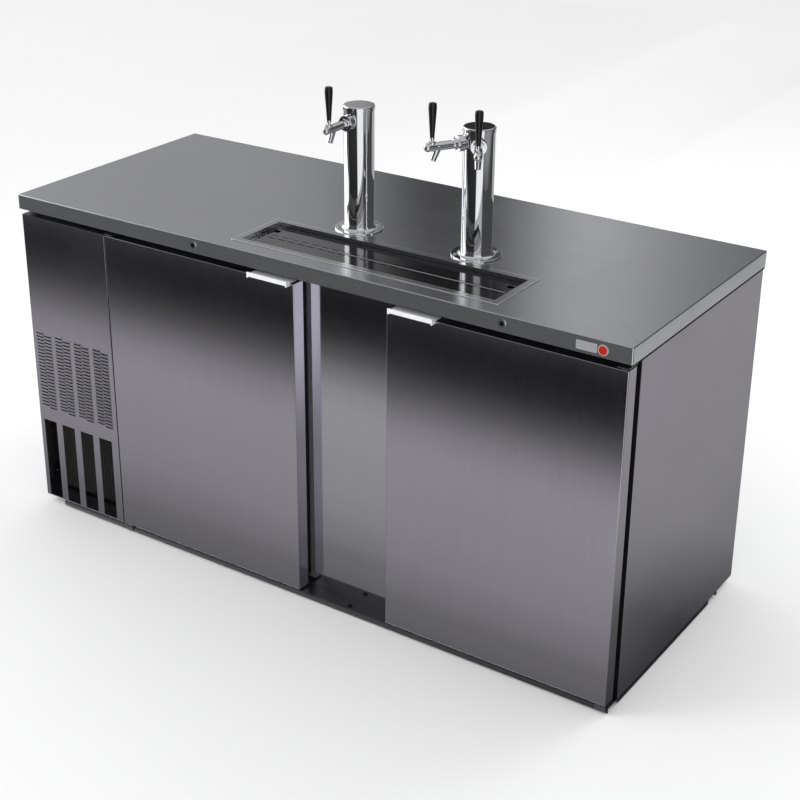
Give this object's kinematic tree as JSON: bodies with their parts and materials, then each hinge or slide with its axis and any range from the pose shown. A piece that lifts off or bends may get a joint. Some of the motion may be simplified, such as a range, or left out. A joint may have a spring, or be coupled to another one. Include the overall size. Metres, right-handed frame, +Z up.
{
  "type": "kegerator",
  "caption": "Direct-draw beer cooler: stainless keg cabinet with hinged solid doors, side compressor grille, recessed drip tray and chrome draft towers with lever taps.",
  "frame": {"origin": "on the floor, below the middle of the overall box", "axes": "+X to the right along the front, +Y from the front to the back, +Z up"},
  "size_m": [1.829, 0.74, 1.329],
  "materials": {
    "steel_satin": "satin",
    "steel_polished": "polished",
    "steel_liner": "satin",
    "steel_galvanised": "satin",
    "coil_aluminium": "satin",
    "chrome": "polished",
    "zinc_plated": "satin",
    "steel_tube": "satin",
    "insulating_foam": "matte",
    "door_lining": "satin",
    "gasket_rubber": "matte",
    "black_handle": "gloss",
    "nylon": "satin",
    "white_plastic": "satin",
    "fan_plastic": "satin",
    "black_paint": "satin",
    "grey_box": "matte",
    "copper": "satin",
    "badge": "satin"
  },
  "bodies": {
    "cabinet": {"worktop": "steel_satin", "side_panels": "steel_satin", "grille_cover": "steel_satin", "front_frame": "steel_polished", "drip_pan": "steel_polished", "inner_liner": "steel_liner", "keg_floor_rack": "steel_liner", "evaporator_housing": "steel_liner", "back_panel": "steel_galvanised", "bottom_panel": "steel_galvanised", "base_rails": "steel_galvanised", "fan_shroud": "steel_galvanised", "partition": "steel_galvanised", "condenser_coil": "coil_aluminium", "evaporator_coil": "coil_aluminium", "tower_columns": "chrome", "tower_flanges": "chrome", "tower_caps": "chrome", "faucet_shanks": "chrome", "faucet_bodies": "chrome", "lock_cylinders": "chrome", "hinge_brackets": "zinc_plated", "screws": "zinc_plated", "leveling_glides": "zinc_plated", "beer_tubes": "steel_tube", "insulation": "insulating_foam", "rear_bushes": "nylon", "drain_tube": "white_plastic", "compressor": "black_paint", "fan_motors": "black_paint", "electrical_box": "grey_box", "refrigerant_lines": "copper", "badge": "badge"},
    "door_left": {"door_skin_left": "steel_satin", "door_core_left": "insulating_foam", "door_liner_left": "door_lining", "door_gasket_left": "gasket_rubber", "door_pull_left": "chrome", "door_bushes_left": "nylon"},
    "lock_left": {"lock_plug_left": "zinc_plated"},
    "door_right": {"door_skin_right": "steel_satin", "door_core_right": "insulating_foam", "door_liner_right": "door_lining", "door_gasket_right": "gasket_rubber", "door_pull_right": "chrome", "door_bushes_right": "nylon"},
    "lock_right": {"lock_plug_right": "zinc_plated"},
    "tap_left": {"tap_lever_left": "chrome", "tap_handle_left": "black_handle"},
    "valve_left": {"tap_valve_left": "steel_tube"},
    "tap_middle": {"tap_lever_middle": "chrome", "tap_handle_middle": "black_handle"},
    "valve_middle": {"tap_valve_middle": "steel_tube"},
    "tap_right": {"tap_lever_right": "chrome", "tap_handle_right": "black_handle"},
    "valve_right": {"tap_valve_right": "steel_tube"},
    "drip_grid": {"drip_grid": "steel_polished"},
    "condenser_fan": {"condenser_fan_blade": "fan_plastic"},
    "evaporator_fan": {"evaporator_fan_blade": "fan_plastic"},
    "thermostat": {"thermostat_knob": "white_plastic"}
  },
  "joints": [
    {"name": "door_left_hinge", "type": "hinge", "parent": "cabinet", "child": "door_left", "pos_m": [-0.5945, -0.348, 0.45], "axis": [0, 0, -1], "range_deg": [0, 110]},
    {"name": "door_right_hinge", "type": "hinge", "parent": "cabinet", "child": "door_right", "pos_m": [0.8935, -0.348, 0.45], "axis": [0, 0, 1], "range_deg": [0, 110]},
    {"name": "lock_left_turn", "type": "hinge", "parent": "cabinet", "child": "lock_left", "pos_m": [-0.2965, -0.35, 0.921], "axis": [0, 1, 0], "range_deg": [0, 90]},
    {"name": "lock_right_turn", "type": "hinge", "parent": "cabinet", "child": "lock_right", "pos_m": [0.5955, -0.35, 0.921], "axis": [0, 1, 0], "range_deg": [0, 90]},
    {"name": "tap_left_lever", "type": "hinge", "parent": "cabinet", "child": "tap_left", "pos_m": [-0.0005, -0.184, 1.2345], "axis": [1, 0, 0], "range_deg": [0, 38]},
    {"name": "tap_left_valve", "type": "slide", "parent": "cabinet", "child": "valve_left", "axis": [0, 1, 0], "range_m": [0, 0.007]},
    {"name": "tap_middle_lever", "type": "hinge", "parent": "cabinet", "child": "tap_middle", "pos_m": [0.283, -0.16725, 1.2345], "axis": [0.866, -0.5, 0], "range_deg": [0, 38]},
    {"name": "tap_middle_valve", "type": "slide", "parent": "cabinet", "child": "valve_middle", "axis": [0.5, 0.866, 0], "range_m": [0, 0.007]},
    {"name": "tap_right_lever", "type": "hinge", "parent": "cabinet", "child": "tap_right", "pos_m": [0.408, -0.16725, 1.2345], "axis": [0.866, 0.5, 0], "range_deg": [0, 38]},
    {"name": "tap_right_valve", "type": "slide", "parent": "cabinet", "child": "valve_right", "axis": [-0.5, 0.866, 0], "range_m": [0, 0.007]},
    {"name": "drip_grid_lift", "type": "slide", "parent": "cabinet", "child": "drip_grid", "axis": [0, 0, 1], "range_m": [0, 0.12]},
    {"name": "condenser_fan_spin", "type": "hinge", "parent": "cabinet", "child": "condenser_fan", "pos_m": [-0.7583, -0.2248, 0.1752], "axis": [0, -1, 0], "continuous": true},
    {"name": "evaporator_fan_spin", "type": "hinge", "parent": "cabinet", "child": "evaporator_fan", "pos_m": [-0.4805, 0.07, 0.684], "axis": [1, 0, 0], "continuous": true},
    {"name": "thermostat_turn", "type": "hinge", "parent": "cabinet", "child": "thermostat", "pos_m": [-0.5105, -0.19, 0.786], "axis": [0, 1, 0], "range_deg": [0, 270]}
  ],
  "couplings": [
    {"joint": "tap_left_valve", "follows": "tap_left_lever", "m_per_rad": 0.01021},
    {"joint": "tap_middle_valve", "follows": "tap_middle_lever", "m_per_rad": 0.01021},
    {"joint": "tap_right_valve", "follows": "tap_right_lever", "m_per_rad": 0.01021}
  ]
}
